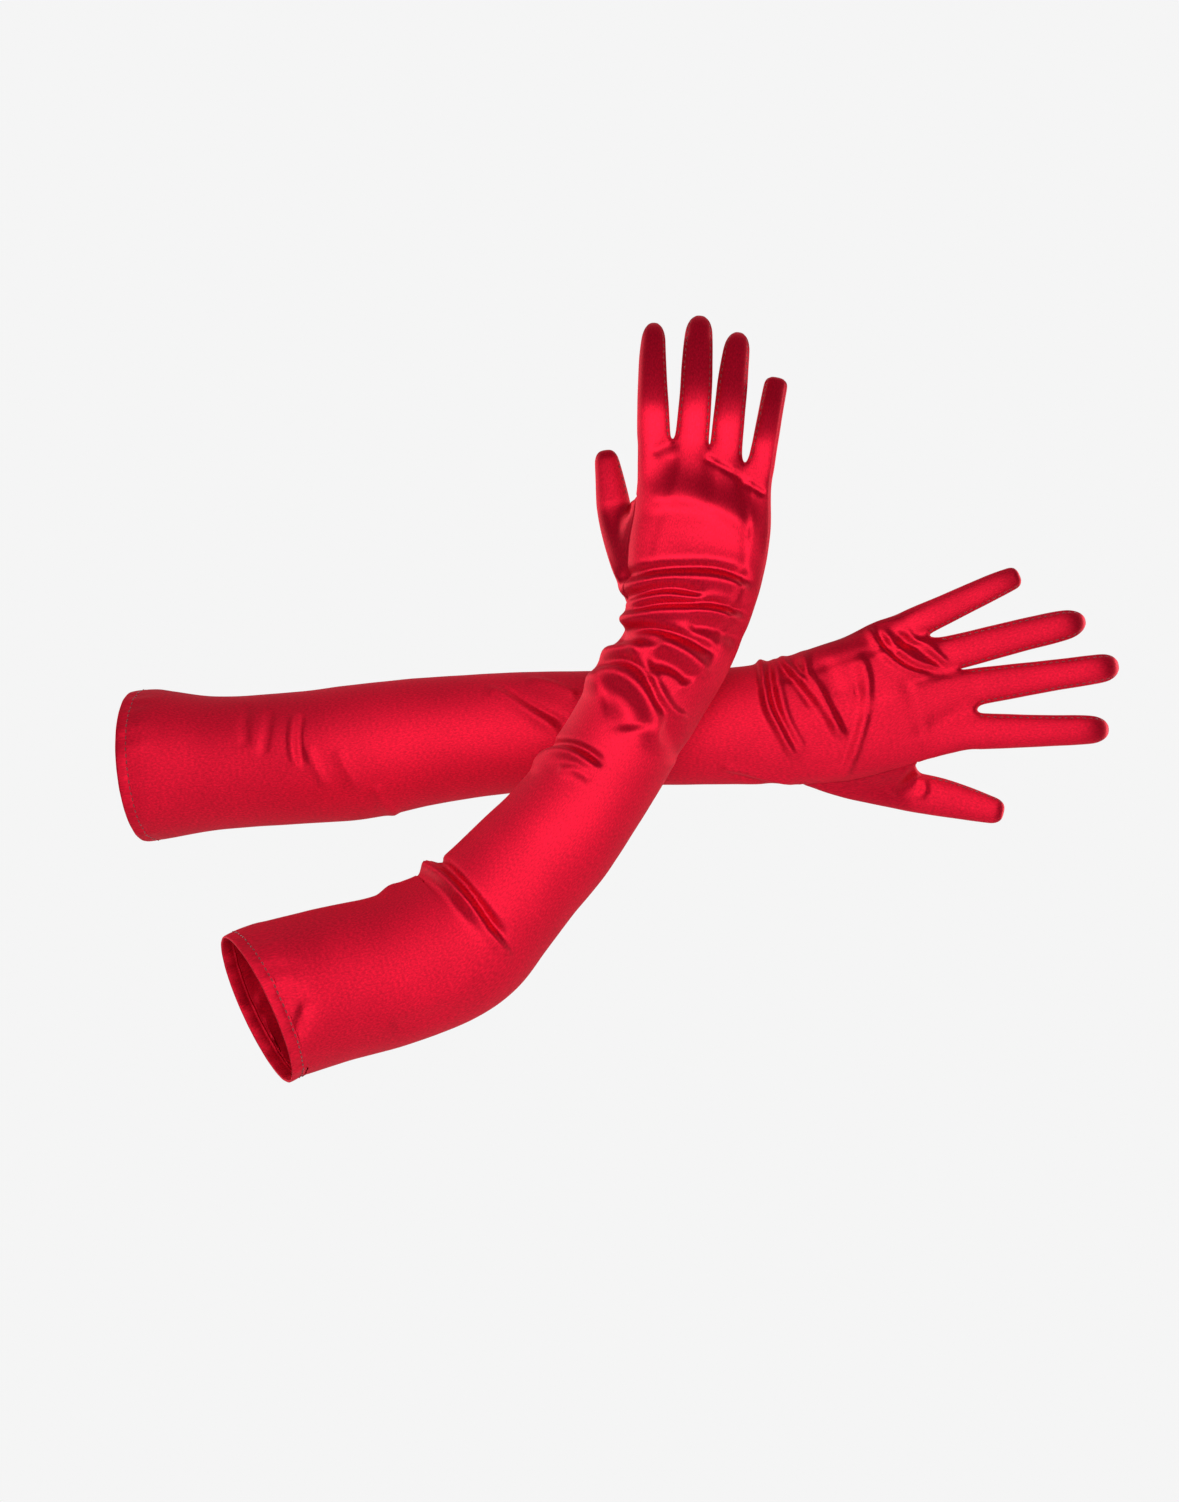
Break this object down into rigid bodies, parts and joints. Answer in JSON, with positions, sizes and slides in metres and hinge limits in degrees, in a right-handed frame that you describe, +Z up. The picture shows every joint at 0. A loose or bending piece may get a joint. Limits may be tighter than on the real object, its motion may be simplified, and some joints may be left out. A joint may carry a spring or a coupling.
{
  "type": "opera gloves",
  "caption": "Pair of elbow-length stretch satin opera gloves in their worn shape, with jointed elbows, wrists, thumbs and fingers, and open cuffs.",
  "frame": {"origin": "centre of the right glove's cuff, at the hem's edge", "axes": "+X to the right, +Y away from the viewer towards the palms, +Z up, as the crossed arms are seen from the front"},
  "size_m": [0.5546, 0.2279, 0.4097],
  "materials": {
    "satin": "satin",
    "fourchette_satin": "satin",
    "hem_satin": "satin",
    "thread": "matte"
  },
  "bodies": {
    "right_upper_sleeve": {"right_hem_band": "hem_satin", "right_hem_stitching": "thread", "right_upper_sleeve_back": "satin", "right_upper_sleeve_palm_side": "satin"},
    "right_forearm": {"right_elbow_back": "satin", "right_elbow_palm_side": "satin", "right_forearm_back": "satin", "right_forearm_palm_side": "satin"},
    "right_hand": {"right_wrist_back": "satin", "right_wrist_palm_side": "satin", "right_hand_back": "satin", "right_palm": "satin", "right_finger_roots": "satin", "right_thumb_gore": "satin"},
    "right_thumb": {"right_thumb_back": "satin", "right_thumb_front": "satin"},
    "right_index": {"right_index_back": "satin", "right_index_front": "satin", "right_index_fourchette": "fourchette_satin"},
    "right_middle": {"right_middle_back": "satin", "right_middle_front": "satin", "right_middle_fourchette": "fourchette_satin"},
    "right_ring": {"right_ring_back": "satin", "right_ring_front": "satin", "right_ring_fourchette": "fourchette_satin"},
    "right_little": {"right_little_back": "satin", "right_little_front": "satin", "right_little_fourchette": "fourchette_satin"},
    "left_upper_sleeve": {"left_hem_band": "hem_satin", "left_hem_stitching": "thread", "left_upper_sleeve_back": "satin", "left_upper_sleeve_palm_side": "satin"},
    "left_forearm": {"left_elbow_back": "satin", "left_elbow_palm_side": "satin", "left_forearm_back": "satin", "left_forearm_palm_side": "satin"},
    "left_hand": {"left_wrist_back": "satin", "left_wrist_palm_side": "satin", "left_hand_back": "satin", "left_palm": "satin", "left_finger_roots": "satin", "left_thumb_gore": "satin"},
    "left_thumb": {"left_thumb_back": "satin", "left_thumb_front": "satin"},
    "left_index": {"left_index_back": "satin", "left_index_front": "satin", "left_index_fourchette": "fourchette_satin"},
    "left_middle": {"left_middle_back": "satin", "left_middle_front": "satin", "left_middle_fourchette": "fourchette_satin"},
    "left_ring": {"left_ring_back": "satin", "left_ring_front": "satin", "left_ring_fourchette": "fourchette_satin"},
    "left_little": {"left_little_back": "satin", "left_little_front": "satin", "left_little_fourchette": "fourchette_satin"}
  },
  "joints": [
    {"name": "right_elbow_bend", "type": "hinge", "parent": "right_upper_sleeve", "child": "right_forearm", "pos_m": [0.105, 0.031, 0.0348], "axis": [0, -1, 0], "range_deg": [-35, 68], "deforming": ["right_elbow_back", "right_elbow_palm_side"]},
    {"name": "right_wrist_bend", "type": "hinge", "parent": "right_forearm", "child": "right_hand", "pos_m": [0.2275, 0.045, 0.2105], "axis": [-0.9929, 0, 0.1194], "range_deg": [-45, 60], "deforming": ["right_wrist_back", "right_wrist_palm_side"]},
    {"name": "right_thumb_bend", "type": "hinge", "parent": "right_hand", "child": "right_thumb", "pos_m": [0.18831, 0.06508, 0.25788], "axis": [-0.8572, 0.4894, -0.16], "range_deg": [-12, 40], "deforming": ["right_thumb_gore"]},
    {"name": "right_index_bend", "type": "hinge", "parent": "right_hand", "child": "right_index", "pos_m": [0.2094, 0.046, 0.3], "axis": [-1, 0, -0.006], "range_deg": [-15, 80], "deforming": ["right_finger_roots"]},
    {"name": "right_middle_bend", "type": "hinge", "parent": "right_hand", "child": "right_middle", "pos_m": [0.23, 0.046, 0.3005], "axis": [-0.9982, 0, 0.0595], "range_deg": [-15, 80], "deforming": ["right_finger_roots"]},
    {"name": "right_ring_bend", "type": "hinge", "parent": "right_hand", "child": "right_ring", "pos_m": [0.2484, 0.046, 0.2945], "axis": [-0.9958, 0, 0.0915], "range_deg": [-15, 80], "deforming": ["right_finger_roots"]},
    {"name": "right_little_bend", "type": "hinge", "parent": "right_hand", "child": "right_little", "pos_m": [0.2664, 0.046, 0.285], "axis": [-0.9813, 0, 0.1925], "range_deg": [-15, 80], "deforming": ["right_finger_roots"]},
    {"name": "left_elbow_bend", "type": "hinge", "parent": "left_upper_sleeve", "child": "left_forearm", "pos_m": [0.04, 0.126, 0.1348], "axis": [0, 1, 0], "range_deg": [-3, 100], "deforming": ["left_elbow_back", "left_elbow_palm_side"]},
    {"name": "left_wrist_bend", "type": "hinge", "parent": "left_forearm", "child": "left_hand", "pos_m": [0.292, 0.117, 0.1536], "axis": [-0.224, 0, 0.9746], "range_deg": [-45, 60], "deforming": ["left_wrist_back", "left_wrist_palm_side"]},
    {"name": "left_thumb_bend", "type": "hinge", "parent": "left_hand", "child": "left_thumb", "pos_m": [0.34575, 0.13466, 0.11402], "axis": [0.232, -0.4606, 0.8567], "range_deg": [-12, 40], "deforming": ["left_thumb_gore"]},
    {"name": "left_index_bend", "type": "hinge", "parent": "left_hand", "child": "left_index", "pos_m": [0.386, 0.117, 0.147], "axis": [-0.0156, 0, 0.9999], "range_deg": [-15, 80], "deforming": ["left_finger_roots"]},
    {"name": "left_middle_bend", "type": "hinge", "parent": "left_hand", "child": "left_middle", "pos_m": [0.385, 0.117, 0.1712], "axis": [-0.1446, 0, 0.9895], "range_deg": [-15, 80], "deforming": ["left_finger_roots"]},
    {"name": "left_ring_bend", "type": "hinge", "parent": "left_hand", "child": "left_ring", "pos_m": [0.372, 0.117, 0.1893], "axis": [-0.2331, 0, 0.9724], "range_deg": [-15, 80], "deforming": ["left_finger_roots"]},
    {"name": "left_little_bend", "type": "hinge", "parent": "left_hand", "child": "left_little", "pos_m": [0.352, 0.117, 0.2056], "axis": [-0.4221, 0, 0.9066], "range_deg": [-15, 80], "deforming": ["left_finger_roots"]},
    {"name": "gloves_apart", "type": "slide", "parent": "right_upper_sleeve", "child": "left_upper_sleeve", "axis": [0, 1, 0], "range_m": [0, 0.15]}
  ]
}
